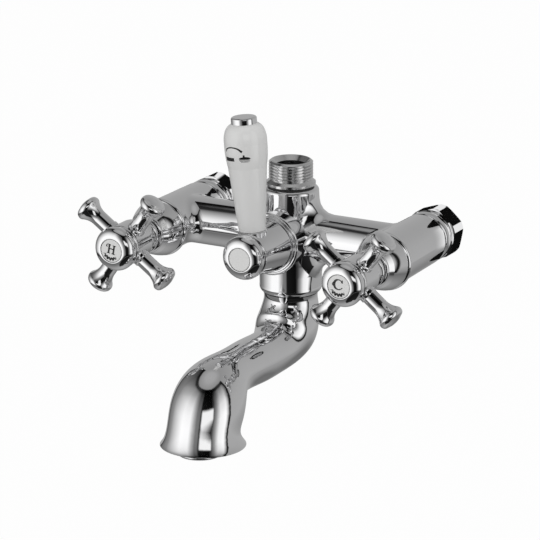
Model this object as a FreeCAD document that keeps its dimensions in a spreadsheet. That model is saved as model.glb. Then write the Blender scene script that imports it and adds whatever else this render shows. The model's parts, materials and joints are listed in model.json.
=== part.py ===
import FreeCAD, Part
import math
import os
import Sketcher
from FreeCAD import Placement, Rotation, Vector

# Wall-mounted bath and shower mixer: two cross handles, a porcelain diverter lever,
# a threaded shower outlet on top and a swivelling spout below.
# Frame: X to the cold side, -Y out of the wall, Z up. Y = 0 is the wall side of the two
# union nuts, Z = 0 the height of the valves, X = 0 the middle of the mixer.
# Along a valve or the diverter, "ahead" is the distance in front of the crossbar's axis.

SIZES = {
    # crossbar and valve bodies
    "pipe_spacing": 150.0,
    "wall_reach": 48.2,
    "crossbar_radius": 14.5,
    "crossbar_bore": 8.5,
    "tee_front_radius": 16.1,
    "tee_rear_radius": 15.5,
    "tee_front": 23.0,
    "tee_rear": 27.5,
    "tee_round": 4.0,
    "tee_blend": 8.0,
    "edge_round": 2.4,
    "edge_break": 0.5,
    # middle of the body
    "barrel_radius": 19.0,
    "shoulder_radius": 16.8,
    "seat_radius": 14.4,
    "neck_height": 29.2,
    "bell_radius": 18.7,
    "bell_mouth": 16.4,
    "bell_depth": 35.5,
    "bell_round": 4.5,
    "boss_radius": 17.5,
    "boss_front": 25.4,
    "passage_radius": 5.8,
    "passage_gap": 2.5,
    "pocket_radius": 7.0,
    "pocket_end": 15.0,
    "nipple_bore": 10.5,
    "nipple_seat": 13.5,
    # inlets and union nuts
    "tail_radius": 10.0,
    "tail_bore": 8.0,
    "tail_end": 38.0,
    "nut_flats": 30.0,
    "nut_corner": 16.2,
    "nut_hex": 12.4,
    "nut_collar": 15.3,
    "nut_collar_width": 1.7,
    "nut_skirt": 14.8,
    "nut_thread": 12.06,
    "nut_relief": 0.6,
    "nut_lip": 6.2,
    "clip_width": 1.3,
    "clip_rise": 1.2,
    "clip_gap": 3.0,
    "washer_thick": 2.0,
    # rings between body and bonnets
    "bead_ring_width": 5.4,
    "bead_ring_radius": 17.7,
    "bead_ring_bore": 13.3,
    # quarter-turn cartridges
    "chamber_radius": 11.5,
    "seat_depth": 9.0,
    "seat_web": 3.0,
    "seat_hole": 6.0,
    "cup_wall": 1.6,
    "disc_radius": 7.85,
    "disc_thick": 2.9,
    "seal_thick": 1.9,
    "port_radius": 2.3,
    "port_offset": 4.3,
    "thread_front": 10.5,
    "flange_radius": 13.0,
    "flange_thick": 4.2,
    "nose_radius": 8.6,
    "nose_front": 45.8,
    "gland_radius": 6.0,
    "gland_start": 9.0,
    "gland_end": 18.0,
    "stem_radius": 4.0,
    "stem_front": 66.2,
    "oring_section": 0.55,
    "window_radius": 2.8,
    # bonnets
    "bonnet_rear": 16.9,
    "bonnet_middle": 13.3,
    "bonnet_neck": 11.7,
    "bonnet_front": 44.0,
    "bonnet_wall": 2.3,
    # cross handles
    "hub_rear": 46.5,
    "hub_skirt": 10.9,
    "hub_neck": 9.9,
    "hub_shoulder": 57.6,
    "hub_radius": 12.5,
    "hub_front": 74.8,
    "hub_ridge": 12.9,
    "screw_recess": 5.5,
    "screw_seat": 70.0,
    "screw_head": 4.6,
    "screw_head_thick": 3.6,
    "screw_shank": 2.4,
    "screw_length": 12.0,
    "spoke_ahead": 65.7,
    "spoke_socket": 3.0,
    "spoke_root": 8.2,
    "spoke_seat": 11.4,
    "spoke_collar": 5.4,
    "spoke_collar_width": 2.8,
    "spoke_radius": 4.85,
    "spoke_flare_start": 22.5,
    "spoke_knob": 7.9,
    "spoke_knob_reach": 31.5,
    "spoke_tip": 35.3,
    "hot_handle_turn": 9.6,
    "cold_handle_turn": 6.7,
    # index plates and their bezels
    "bezel_radius": 13.3,
    "bezel_height": 8.4,
    "bezel_seat": 4.6,
    "bezel_thread": 10.0,
    "index_radius": 6.8,
    "index_flange": 8.2,
    # diverter
    "div_chamber": 12.0,
    "div_shelf": 7.2,
    "div_port": 2.9,
    "div_port_offset": 5.6,
    "div_disc": 9.1,
    "div_disc_thick": 2.5,
    "div_seal": 1.4,
    "div_flange": 14.0,
    "div_flange_thick": 2.8,
    "div_nose_front": 36.0,
    "div_gland_start": 20.0,
    "div_gland_end": 28.0,
    "div_stem_front": 49.6,
    "div_bead_radius": 19.0,
    "div_bead_width": 3.5,
    "div_hub_rear": 16.1,
    "div_hub_front": 12.1,
    "div_hub_web": 38.0,
    "div_screw_seat": 50.0,
    "div_front": 55.4,
    # lever
    "lever_ahead": 45.7,
    "lever_lean": 4.85,
    "lever_seat": 13.4,
    "lever_boss": 8.8,
    "lever_base": 8.0,
    "lever_waist": 11.4,
    "lever_waist_height": 52.0,
    "lever_belly": 12.6,
    "lever_belly_height": 66.5,
    "lever_top": 77.7,
    "lever_top_radius": 7.7,
    "cap_radius": 7.6,
    "cap_thick": 3.8,
    "stud_radius": 2.45,
    "stud_root": 6.6,
    # shower outlet
    "outlet_thread": 13.22,
    "outlet_root": 12.06,
    "outlet_pitch": 1.814,
    "outlet_turns": 5.0,
    "outlet_top": 45.3,
    "outlet_bore": 8.7,
    "collar_radius": 14.8,
    "collar_height": 2.0,
    "outlet_relief": 12.4,
    "gasket_thick": 1.0,
    # spout
    "spigot_radius": 12.3,
    "socket_play": 0.2,
    "spigot_top": 16.0,
    "spigot_bore": 8.5,
    "spout_neck": 16.5,
    "spout_drop": 6.2,
    "spout_elbow": 24.0,
    "spout_elbow_girth": 18.5,
    "spout_run": 52.8,
    "spout_run_start": 14.6,
    "spout_run_radius": 14.4,
    "spout_bend": 31.0,
    "spout_bend_upper": 19.5,
    "spout_bend_lower": 21.6,
    "spout_bend_end": 23.4,
    "spout_lip": 25.1,
    "spout_lip_drop": 2.4,
    "spout_wall": 2.6,
    "spout_floor": 3.4,
    "mouth_depth": 1.2,
    "groove_depth": 2.2,
    "aerator_radius": 13.0,
    "aerator_forward": 3.9,
    "aerator_drop": 4.9,
    "aerator_height": 11.0,
    "grub_radius": 2.0,
    # clearances
    "fit": 0.05,
    "turn_play": 0.1,
    "swivel_play": 0.3,
}

HEX_TURNS = {-1: 28.6, 1: 18.6}     # degrees that each union nut stands round from a level corner
QUARTER = math.tan(math.radians(22.5))      # bulge of a quarter-circle edge
HALF = 1.0                                  # bulge of a half-circle edge
UP = Rotation()
AHEAD = Rotation(Vector(1, 0, 0), 90)
BACK = Rotation(Vector(1, 0, 0), -90)
TO_COLD = Rotation(Vector(0, 1, 0), 90)


class Dim:
    """A length together with the sheet expression that drives it."""

    def __init__(self, text, value):
        self.text = text
        self.value = value

    def __add__(self, other):
        return join(self, "+", other, self.value + dim(other).value)

    def __radd__(self, other):
        return dim(other) + self

    def __sub__(self, other):
        return join(self, "-", other, self.value - dim(other).value)

    def __rsub__(self, other):
        return dim(other) - self

    def __mul__(self, other):
        return join(self, "*", other, self.value * dim(other).value)

    def __rmul__(self, other):
        return dim(other) * self

    def __truediv__(self, other):
        return join(self, "/", other, self.value / dim(other).value)

    def __neg__(self):
        return 0.0 - self


def dim(number):
    return number if isinstance(number, Dim) else Dim(repr(float(number)), float(number))


def join(left, sign, right, value):
    return Dim("(%s %s %s)" % (left.text, sign, dim(right).text), value)


class Names:
    """The sheet's sizes as attributes."""


doc = FreeCAD.newDocument("BathMixer")
sheet = doc.addObject("Spreadsheet::Sheet", "Sizes")
s = Names()
for row, (name, value) in enumerate(SIZES.items(), 1):
    sheet.set("A%d" % row, name)
    sheet.set("B%d" % row, str(value))
    sheet.setAlias("B%d" % row, name)
    setattr(s, name, Dim("Sizes." + name, value))
doc.recompute()
nodes = {}


# ---- sketching and solids ----

def edge_between(start, end, bulge):
    """A straight edge, or an arc whose bulge is the tangent of a quarter of its angle."""
    (x1, y1), (x2, y2) = start, end
    if bulge == 0.0:
        return Part.LineSegment(Vector(x1, y1, 0), Vector(x2, y2, 0)), (1, 2)
    shift = (1.0 - bulge * bulge) / (4.0 * bulge)
    middle_x = (x1 + x2) / 2 - (y2 - y1) * shift
    middle_y = (y1 + y2) / 2 + (x2 - x1) * shift
    radius = math.hypot(x1 - middle_x, y1 - middle_y)
    first = math.atan2(y1 - middle_y, x1 - middle_x)
    last = math.atan2(y2 - middle_y, x2 - middle_x)
    if bulge < 0:
        first, last = last, first
    if last < first:
        last += 2 * math.pi
    circle = Part.Circle(Vector(middle_x, middle_y, 0), Vector(0, 0, 1), radius)
    return Part.ArcOfCircle(circle, first, last), (1, 2) if bulge > 0 else (2, 1)


def draw_outline(sketch, corners):
    """Closed outline through (radius, height[, bulge of the next edge]) corners, all driven."""
    corners = [(dim(c[0]), dim(c[1]), c[2] if len(c) > 2 else 0.0) for c in corners]
    followers = corners[1:] + corners[:1]
    ends = []
    for here, there in zip(corners, followers):
        edge, points = edge_between((here[0].value, here[1].value),
                                    (there[0].value, there[1].value), here[2])
        sketch.addGeometry(edge)
        ends.append(points)
    rules = []
    driven = []
    for k, (here, there) in enumerate(zip(corners, followers)):
        after = (k + 1) % len(corners)
        for kind, wanted, axis in (("DistanceX", here[0], -2), ("DistanceY", here[1], -1)):
            if wanted.value == 0.0:
                rules.append(Sketcher.Constraint("PointOnObject", k, ends[k][0], axis))
            else:
                driven.append((len(rules), wanted))
                rules.append(Sketcher.Constraint(kind, -1, 1, k, ends[k][0], wanted.value))
        rules.append(Sketcher.Constraint("Coincident", k, ends[k][1], after, ends[after][0]))
        if here[2]:
            shift = (1.0 - here[2] * here[2]) / (4.0 * here[2])
            rise, run = there[1] - here[1], there[0] - here[0]
            if abs(rise.value) > abs(run.value):
                kind, wanted = "DistanceX", (here[0] + there[0]) / 2 - rise * shift
            else:
                kind, wanted = "DistanceY", (here[1] + there[1]) / 2 + run * shift
            driven.append((len(rules), wanted))
            rules.append(Sketcher.Constraint(kind, -1, 1, k, 3, wanted.value))
    sketch.addConstraint(rules)
    for index, wanted in driven:
        sketch.setExpression("Constraints[%d]" % index, wanted.text)


def place(thing, at, turn):
    thing.Placement = Placement(Vector(*[dim(v).value for v in at]), turn)
    for axis, value in zip("xyz", at):
        thing.setExpression("Placement.Base." + axis, dim(value).text)
    return thing


def turned(label, corners, at, turn=UP):
    """A turned solid: the outline spun round its own Z axis, then placed."""
    body = doc.addObject("PartDesign::Body", label)
    sketch = body.newObject("Sketcher::SketchObject", label + "_outline")
    plane = next(f for f in body.Origin.OriginFeatures if f.Role == "XZ_Plane")
    sketch.AttachmentSupport = [(plane, "")]
    sketch.MapMode = "FlatFace"
    draw_outline(sketch, corners)
    spun = body.newObject("PartDesign::Revolution", label + "_turning")
    spun.Profile = sketch
    spun.ReferenceAxis = (sketch, ["V_Axis"])
    spun.Angle = 360
    body.Tip = spun
    return place(body, at, turn)


def rod(label, radius, length, at, turn=UP):
    cylinder = doc.addObject("Part::Cylinder", label)
    cylinder.setExpression("Radius", dim(radius).text)
    cylinder.setExpression("Height", dim(length).text)
    return place(cylinder, at, turn)


def hexagon(label, flats, length, at, turn=UP):
    prism = doc.addObject("Part::Prism", label)
    prism.Polygon = 6
    prism.setExpression("Circumradius", (dim(flats) / math.sqrt(3.0)).text)
    prism.setExpression("Height", dim(length).text)
    return place(prism, at, turn)


def slab(label, wide, deep, high, at, turn=UP):
    box = doc.addObject("Part::Box", label)
    for side, value in (("Length", wide), ("Width", deep), ("Height", high)):
        box.setExpression(side, dim(value).text)
    return place(box, at, turn)


def ring(label, radius, section, at, turn=UP):
    torus = doc.addObject("Part::Torus", label)
    torus.setExpression("Radius1", dim(radius).text)
    torus.setExpression("Radius2", dim(section).text)
    return place(torus, at, turn)


def fuse(label, pieces):
    joined = doc.addObject("Part::MultiFuse", label)
    joined.Shapes = pieces
    return joined


def cut(label, base, tools):
    result = doc.addObject("Part::Cut", label)
    result.Base = base
    result.Tool = tools[0] if len(tools) == 1 else fuse(label + "_cutters", tools)
    return result


def overlap(label, first, second):
    result = doc.addObject("Part::Common", label)
    result.Base = first
    result.Tool = second
    return result


def bundle(label, pieces):
    """Separate solids of one kind that share a node."""
    result = doc.addObject("Part::Compound", label)
    result.Links = pieces
    return result


def keep(label, thing):
    thing.Label = label
    nodes[label] = thing
    return thing


def blend(label, base, radius, wanted):
    """Round the edges of base that the test picks, by one radius."""
    doc.recompute()
    chosen = []
    for number, edge in enumerate(base.Shape.Edges, 1):
        faces = base.Shape.ancestorsOfType(edge, Part.Face)
        if len(faces) == 2 and wanted(edge, faces):
            chosen.append((number, radius.value, radius.value))
    rounded = doc.addObject("Part::Fillet", label)
    rounded.Base = base
    rounded.Edges = chosen
    return rounded


# ---- the body casting ----

def valve_axis(side):
    """Where a valve's axis meets the crossbar's: side -1 is hot, 1 is cold, 0 the diverter."""
    return (s.pipe_spacing / 2 * side, -s.wall_reach, 0)


def body_casting():
    centre = valve_axis(0)
    barrel = turned("body_barrel", [
        (0, -s.bell_depth),
        (s.bell_mouth, -s.bell_depth, 0.35),
        (s.bell_radius, s.bell_round - s.bell_depth),
        (s.barrel_radius, -s.crossbar_bore),
        (s.shoulder_radius, s.neck_height - s.edge_round, QUARTER),
        (s.seat_radius, s.neck_height),
        (0, s.neck_height)], centre)
    crossbar = rod("body_crossbar", s.crossbar_radius, s.pipe_spacing,
                   (-s.pipe_spacing / 2, -s.wall_reach, 0), TO_COLD)
    tees = []
    for side, name in ((-1, "hot"), (1, "cold")):
        tees.append(turned("body_tee_" + name, [
            (0, -s.tail_end),
            (s.tail_radius, -s.tail_end),
            (s.tail_radius, -clip_rear() - s.fit),
            (s.tail_radius - s.clip_rise / 2, -clip_rear() - s.fit),
            (s.tail_radius - s.clip_rise / 2, -clip_front() + s.fit),
            (s.tail_radius, -clip_front() + s.fit),
            (s.tail_radius, -s.tee_rear),
            (s.tee_rear_radius - s.tee_round, -s.tee_rear, QUARTER),
            (s.tee_rear_radius, s.tee_round - s.tee_rear),
            (s.tee_front_radius, s.tee_front - s.edge_break),
            (s.tee_front_radius - s.edge_break, s.tee_front),
            (0, s.tee_front)], valve_axis(side), AHEAD))
    rough = fuse("body_rough", [crossbar, barrel] + tees)

    def on_crossbar(face):
        surface = face.Surface
        return isinstance(surface, Part.Cylinder) and abs(surface.Axis.x) > 0.99

    def meets_tee(edge, faces):
        return sum(map(on_crossbar, faces)) == 1 and abs(edge.CenterOfMass.x) > s.pipe_spacing.value / 4

    def meets_barrel(edge, faces):
        return sum(map(on_crossbar, faces)) == 1 and abs(edge.CenterOfMass.x) < s.pipe_spacing.value / 4

    at_tees = blend("body_tee_blends", rough, s.tee_blend, meets_tee)
    room = s.neck_height - s.edge_round - s.crossbar_radius
    at_barrel = blend("body_barrel_blends", at_tees, room * 0.88, meets_barrel)
    boss = turned("body_boss", [
        (0, 0),
        (s.boss_radius, 0),
        (s.boss_radius, s.boss_front - s.edge_break),
        (s.boss_radius - s.edge_break, s.boss_front),
        (0, s.boss_front)], centre, AHEAD * Rotation(Vector(0, 0, 1), 90))
    outside = fuse("body_outside", [at_barrel, boss])

    cutters = []
    for side, name in ((-1, "hot"), (1, "cold")):
        cutters.append(turned("body_waterway_" + name, [
            (0, -s.tail_end - 1),
            (s.tail_bore, -s.tail_end - 1),
            (s.tail_bore, -s.seat_depth - s.seat_web),
            (s.seat_hole, -s.seat_depth - s.seat_web),
            (s.seat_hole, -s.seat_depth),
            (s.chamber_radius, -s.seat_depth),
            (s.chamber_radius, s.tee_front + 1),
            (0, s.tee_front + 1)], valve_axis(side), AHEAD))
        start = s.crossbar_bore if side > 0 else -s.pipe_spacing / 2
        cutters.append(rod("body_bore_" + name, s.crossbar_bore,
                           s.pipe_spacing / 2 - s.crossbar_bore, (start, -s.wall_reach, 0), TO_COLD))
        start = s.crossbar_bore if side > 0 else -s.pocket_end
        cutters.append(rod("body_pocket_" + name, s.pocket_radius, s.pocket_end - s.crossbar_bore,
                           (start, -s.wall_reach - s.pocket_radius, 0), TO_COLD))
    cutters.append(turned("body_diverter_chamber", [
        (0, s.div_shelf),
        (s.div_chamber, s.div_shelf),
        (s.div_chamber, s.boss_front + 1),
        (0, s.boss_front + 1)], centre, AHEAD))
    cutters.append(turned("body_upper_passage", [
        (0, s.passage_gap),
        (s.passage_radius, s.passage_gap),
        (s.passage_radius, s.nipple_seat),
        (s.nipple_bore, s.nipple_seat),
        (s.nipple_bore, s.neck_height + 1),
        (0, s.neck_height + 1)], centre))
    cutters.append(turned("body_lower_passage", [
        (0, -s.bell_depth - 1),
        (s.spigot_radius + s.socket_play, -s.bell_depth - 1),
        (s.spigot_radius + s.socket_play, 1 - s.spigot_top),
        (s.passage_radius, 1 - s.spigot_top),
        (s.passage_radius, -s.passage_gap),
        (0, -s.passage_gap)], centre))
    for sign, name in ((1, "upper"), (-1, "lower")):
        cutters.append(rod("body_port_" + name, s.div_port, s.div_shelf,
                           (0, -s.wall_reach - s.div_shelf - 1, s.div_port_offset * sign), BACK))
    cutters.append(rod("body_grub_hole", s.grub_radius + s.fit, s.bell_radius,
                       (0, -s.wall_reach + s.passage_radius, grub_height()), BACK))
    return keep("mixer_body", cut("mixer_body", outside, cutters))


# ---- inlets ----

def clip_front():
    return s.tee_rear + s.nut_lip + s.swivel_play + s.socket_play * 2


def clip_rear():
    return clip_front() + s.clip_width


def inlet(side, name):
    at = valve_axis(side)
    hex_front = s.wall_reach - s.nut_hex
    lip_rear = clip_front() - s.socket_play
    nut_front = s.tee_rear + s.swivel_play
    skirt = turned(name + "_nut_skirt", [
        (0, -hex_front - 1),
        (s.nut_collar - 1, -hex_front - 1),
        (s.nut_collar, -hex_front),
        (s.nut_collar, s.nut_collar_width - hex_front),
        (s.nut_skirt, s.nut_collar_width + s.edge_break - hex_front, 0.24),
        (s.nut_skirt - s.edge_break, -nut_front),
        (0, -nut_front)], at, AHEAD)
    flats = hexagon(name + "_nut_flats", s.nut_flats, s.nut_hex, (at[0], 0, 0),
                    AHEAD * Rotation(Vector(0, 0, 1), HEX_TURNS[side]))
    corners = turned(name + "_nut_corners", [
        (0, -s.wall_reach),
        (s.nut_corner - s.edge_break * 2, -s.wall_reach),
        (s.nut_corner, s.edge_break - s.wall_reach),
        (s.nut_corner, -hex_front - s.edge_break),
        (s.nut_collar - s.edge_break, -hex_front),
        (0, -hex_front)], at, AHEAD)
    outside = fuse(name + "_nut_outside",
                   [skirt, overlap(name + "_nut_hexagon", flats, corners)])
    hollow = turned(name + "_nut_hollow", [
        (0, -s.wall_reach - 1),
        (s.nut_thread + 1.2, -s.wall_reach - 1),
        (s.nut_thread + 1.2, -s.wall_reach),
        (s.nut_thread, 1.2 - s.wall_reach),
        (s.nut_thread, -s.tail_end - s.washer_thick),
        (s.nut_thread + s.nut_relief, -s.tail_end - s.washer_thick),
        (s.nut_thread + s.nut_relief, -lip_rear),
        (s.tail_radius + s.socket_play, -lip_rear),
        (s.tail_radius + s.socket_play, 1 - nut_front),
        (0, 1 - nut_front)], at, AHEAD)
    keep(name + "_union_nut", cut(name + "_union_nut", outside, [hollow]))

    band = turned(name + "_clip_band", [
        (s.tail_radius - s.clip_rise / 2 + s.fit, -clip_rear()),
        (s.tail_radius + s.clip_rise, -clip_rear()),
        (s.tail_radius + s.clip_rise, -clip_front()),
        (s.tail_radius - s.clip_rise / 2 + s.fit, -clip_front())], at, AHEAD)
    gap = slab(name + "_clip_split", s.clip_gap, s.clip_width * 3, s.tail_radius * 2,
               (at[0] - s.clip_gap / 2, clip_front() - s.wall_reach - s.clip_width, -s.tail_radius * 2))
    keep(name + "_nut_clip", cut(name + "_nut_clip", band, [gap]))

    keep(name + "_inlet_washer", turned(name + "_inlet_washer", [
        (s.tail_bore, -s.tail_end - s.washer_thick),
        (s.nut_thread - s.swivel_play, -s.tail_end - s.washer_thick),
        (s.nut_thread - s.swivel_play, -s.tail_end),
        (s.tail_bore, -s.tail_end)], at, AHEAD))


# ---- quarter-turn cartridges ----

def ported_disc(label, radius, thick, ahead, side, ports, port):
    """A lapped ceramic disc with round ports at (x, z) from its centre."""
    x = valve_axis(side)[0]
    blank = rod(label + "_blank", radius, thick, (x, -s.wall_reach - ahead, 0), AHEAD)
    drills = [rod("%s_port_%d" % (label, k), port, thick + 2,
                  (x + px, 1 - s.wall_reach - ahead, pz), AHEAD)
              for k, (px, pz) in enumerate(ports, 1)]
    return keep(label, cut(label, blank, drills))


def valve_cartridge(side, name):
    at = valve_axis(side)
    fixed_rear = s.seal_thick + s.fit - s.seat_depth
    moving_rear = fixed_rear + s.disc_thick + s.turn_play
    head_rear = moving_rear + s.disc_thick + s.turn_play
    head_front = head_rear + s.disc_thick
    cup = s.disc_radius + s.swivel_play
    bore = s.stem_radius + s.turn_play
    gland = s.gland_radius + s.turn_play
    sleeve = turned(name + "_cartridge_sleeve", [
        (cup, fixed_rear - s.edge_break),
        (cup + s.cup_wall, fixed_rear - s.edge_break),
        (cup + s.cup_wall, s.thread_front - 1),
        (s.chamber_radius - s.turn_play, s.thread_front),
        (s.chamber_radius - s.turn_play, s.tee_front),
        (s.flange_radius, s.tee_front),
        (s.flange_radius, s.tee_front + s.flange_thick),
        (s.nose_radius, s.tee_front + s.flange_thick),
        (s.nose_radius, s.nose_front - s.edge_break),
        (s.nose_radius - s.edge_break, s.nose_front),
        (bore, s.nose_front),
        (bore, s.gland_end),
        (gland, s.gland_end),
        (gland, s.gland_start),
        (cup, s.gland_start)], at, AHEAD)
    windows = rod(name + "_cartridge_windows", s.window_radius, s.chamber_radius * 2,
                  (at[0] - s.chamber_radius, -s.wall_reach - (head_front + s.gland_start) / 2, 0), TO_COLD)
    keep(name + "_cartridge_body", cut(name + "_cartridge_body", sleeve, [windows]))

    groove = (s.gland_start + s.gland_end) / 2
    half = s.oring_section + s.turn_play
    keep(name + "_spindle", turned(name + "_spindle", [
        (0, head_rear),
        (s.disc_radius, head_rear),
        (s.disc_radius, head_front),
        (s.gland_radius - 1, head_front),
        (s.gland_radius - 1, s.gland_start),
        (s.gland_radius, s.gland_start + 1),
        (s.gland_radius, groove - half),
        (s.gland_radius - half * 2, groove - half),
        (s.gland_radius - half * 2, groove + half),
        (s.gland_radius, groove + half),
        (s.gland_radius, s.gland_end - s.swivel_play),
        (s.stem_radius, s.gland_end - s.swivel_play),
        (s.stem_radius, s.stem_front),
        (s.screw_shank + s.fit, s.stem_front),
        (s.screw_shank + s.fit, s.screw_seat - s.screw_length - 1),
        (0, s.screw_seat - s.screw_length - 1)], at, AHEAD))
    keep(name + "_spindle_oring", ring(name + "_spindle_oring", s.gland_radius - half,
                                       s.oring_section, (at[0], -s.wall_reach - groove, 0), AHEAD))
    ported_disc(name + "_fixed_disc", s.disc_radius, s.disc_thick, fixed_rear, side,
                [(s.port_offset, 0), (-s.port_offset, 0)], s.port_radius)
    ported_disc(name + "_moving_disc", s.disc_radius, s.disc_thick, moving_rear, side,
                [(0, s.port_offset), (0, -s.port_offset)], s.port_radius)
    keep(name + "_seat_seal", turned(name + "_seat_seal", [
        (s.seat_hole + s.swivel_play, -s.seat_depth),
        (s.disc_radius, -s.seat_depth),
        (s.disc_radius, s.seal_thick - s.seat_depth),
        (s.seat_hole + s.swivel_play, s.seal_thick - s.seat_depth)], at, AHEAD))


def bonnet(side, name):
    at = valve_axis(side)
    ring_front = s.tee_front + s.bead_ring_width
    wide_bead = s.bead_ring_width * 0.8
    thin_bead = s.bead_ring_width - wide_bead
    base = s.bead_ring_radius - wide_bead * 0.375
    keep(name + "_bead_ring", turned(name + "_bead_ring", [
        (s.bead_ring_bore, s.tee_front),
        (base, s.tee_front, 0.75),
        (base, s.tee_front + wide_bead),
        (base - thin_bead / 5, s.tee_front + wide_bead, HALF),
        (base - thin_bead / 5, ring_front),
        (s.bead_ring_bore, ring_front)], at, AHEAD))
    rim = s.bonnet_front - s.edge_round * 0.8
    shelf = s.bonnet_front - s.bonnet_wall * 1.5
    keep(name + "_bonnet", turned(name + "_bonnet", [
        (s.bonnet_rear - s.bonnet_wall, ring_front),
        (s.bonnet_rear - s.edge_break, ring_front),
        (s.bonnet_rear, ring_front + s.edge_break, 0.05),
        (s.bonnet_middle, (rim + ring_front) / 2 + s.bonnet_wall * 1.4),
        (s.bonnet_neck - s.edge_break, rim - s.edge_break),
        (s.bonnet_neck, rim, QUARTER),
        (s.bonnet_neck - s.edge_round * 0.6, s.bonnet_front),
        (s.nose_radius + s.turn_play, s.bonnet_front),
        (s.nose_radius + s.turn_play, shelf),
        (s.bonnet_neck - s.bonnet_wall, shelf),
        (s.bonnet_middle - s.bonnet_wall, (rim + ring_front) / 2 + s.bonnet_wall * 0.6)], at, AHEAD))


# ---- cross handles ----

def bezel_and_index(name, side, base):
    """The screwed bezel ring and the porcelain plate that it holds, from the hub's front face."""
    at = valve_axis(side)
    lip = s.bezel_height - 1
    keep(name + "_bezel", turned(name + "_bezel", [
        (s.bezel_thread, base + s.fit),
        (s.bezel_radius - 1.2, base + s.fit),
        (s.bezel_radius - 1.0, base + 0.3, 0.2),
        (s.bezel_radius - 0.1, base + s.bezel_seat - 1.2, 0.194),
        (s.bezel_radius - 2.3, base + s.bezel_height - 1.1, 0.159),
        (s.index_radius + 0.6, base + s.bezel_height + 0.1, 0.4),
        (s.index_radius + 0.35, base + s.bezel_height - 0.1),
        (s.index_radius + 0.35, base + lip),
        (s.index_flange + s.turn_play, base + lip),
        (s.index_flange + s.turn_play, base + s.bezel_seat),
        (s.bezel_thread, base + s.bezel_seat)], at, AHEAD))
    keep(name + "_index", turned(name + "_index", [
        (0, base + s.bezel_seat),
        (s.index_flange, base + s.bezel_seat),
        (s.index_flange, base + lip - s.fit),
        (s.index_radius, base + lip - s.fit),
        (s.index_radius, base + s.bezel_height - s.turn_play),
        (s.index_radius - 0.4, base + s.bezel_height + s.turn_play),
        (0, base + s.bezel_height + s.turn_play)], at, AHEAD))


def cap_screw(label, side, seat, length):
    """A socket screw whose head rests at seat, with the shank running back."""
    at = valve_axis(side)
    blank = turned(label + "_blank", [
        (0, seat - length),
        (s.screw_shank, seat - length),
        (s.screw_shank, seat),
        (s.screw_head, seat),
        (s.screw_head, seat + s.screw_head_thick - s.edge_break),
        (s.screw_head - s.edge_break, seat + s.screw_head_thick),
        (0, seat + s.screw_head_thick)], at, AHEAD)
    socket = hexagon(label + "_socket", s.screw_shank * 1.7, s.screw_head_thick,
                     (at[0], -s.wall_reach - seat - s.screw_head_thick / 2, 0), AHEAD)
    return keep(label, cut(label, blank, [socket]))


def cross_handle(side, name, handle_turn):
    at = valve_axis(side)
    bore = s.stem_radius + s.fit
    blank = turned(name + "_hub_blank", [
        (bore, s.hub_rear),
        (s.hub_skirt - s.edge_break, s.hub_rear, 0.7),
        (s.hub_skirt - s.edge_break, s.hub_rear + s.edge_round),
        (s.hub_neck, s.hub_rear + s.edge_round + s.edge_break, -0.1),
        (s.hub_neck, s.hub_shoulder - s.edge_round - s.edge_break),
        (s.hub_radius - s.edge_round / 2, s.hub_shoulder - s.edge_round, 0.3),
        (s.hub_radius, s.hub_shoulder),
        (s.hub_radius, s.hub_front - s.edge_round - s.edge_break),
        (s.hub_radius - s.edge_break, s.hub_front - s.edge_round, 0.8),
        (s.hub_radius - s.edge_break, s.hub_front - s.edge_break),
        (s.hub_radius - s.edge_break * 2, s.hub_front),
        (s.bezel_thread - s.turn_play, s.hub_front),
        (s.bezel_thread - s.turn_play, s.hub_front + s.bezel_seat),
        (s.screw_recess, s.hub_front + s.bezel_seat),
        (s.screw_recess, s.screw_seat),
        (s.screw_shank + s.swivel_play, s.screw_seat),
        (s.screw_shank + s.swivel_play, s.stem_front + s.swivel_play),
        (bore, s.stem_front + s.swivel_play)], at, AHEAD)
    at_spokes = (at[0], -s.wall_reach - s.spoke_ahead, 0)
    sockets = []
    spokes = []
    for k in range(4):
        turn = Rotation(Vector(0, 1, 0), 45 - 90 * k)
        pieces = [
            turned("%s_socket_%d" % (name, k + 1), [
                (0, s.spoke_root - s.swivel_play),
                (s.spoke_socket, s.spoke_root - s.swivel_play),
                (s.spoke_socket, s.spoke_seat),
                (s.spoke_collar + s.turn_play, s.spoke_seat),
                (s.spoke_collar + s.turn_play, s.hub_radius + 2),
                (0, s.hub_radius + 2)], at_spokes, turn),
            turned("%s_spoke_%d" % (name, k + 1), [
                (0, s.spoke_root),
                (s.spoke_socket - s.turn_play, s.spoke_root),
                (s.spoke_socket - s.turn_play, s.spoke_seat),
                (s.spoke_collar, s.spoke_seat),
                (s.spoke_collar, s.spoke_seat + s.spoke_collar_width - s.edge_break),
                (s.spoke_radius, s.spoke_seat + s.spoke_collar_width),
                (s.spoke_radius, s.spoke_flare_start, -0.17),
                (s.spoke_knob - 0.5, s.spoke_knob_reach - 1.7, 0.25),
                (s.spoke_knob - 0.1, s.spoke_knob_reach + 0.6, 0.35),
                (s.spoke_knob * 0.7, s.spoke_tip - 1.1, 0.1),
                (s.spoke_knob * 0.2, s.spoke_tip),
                (0, s.spoke_tip)], at_spokes, turn)]
        for piece in pieces:
            piece.setExpression("Placement.Rotation.Angle",
                                "%d - %s" % (45 - 90 * k if k < 2 else 405 - 90 * k, handle_turn.text))
        sockets.append(pieces[0])
        spokes.append(pieces[1])
    keep(name + "_handle_hub", cut(name + "_handle_hub", blank, sockets))
    keep(name + "_handle_spokes", bundle(name + "_handle_spokes", spokes))
    bezel_and_index(name, side, s.hub_front)
    cap_screw(name + "_handle_screw", side, s.screw_seat, s.screw_length)


# ---- diverter ----

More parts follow.
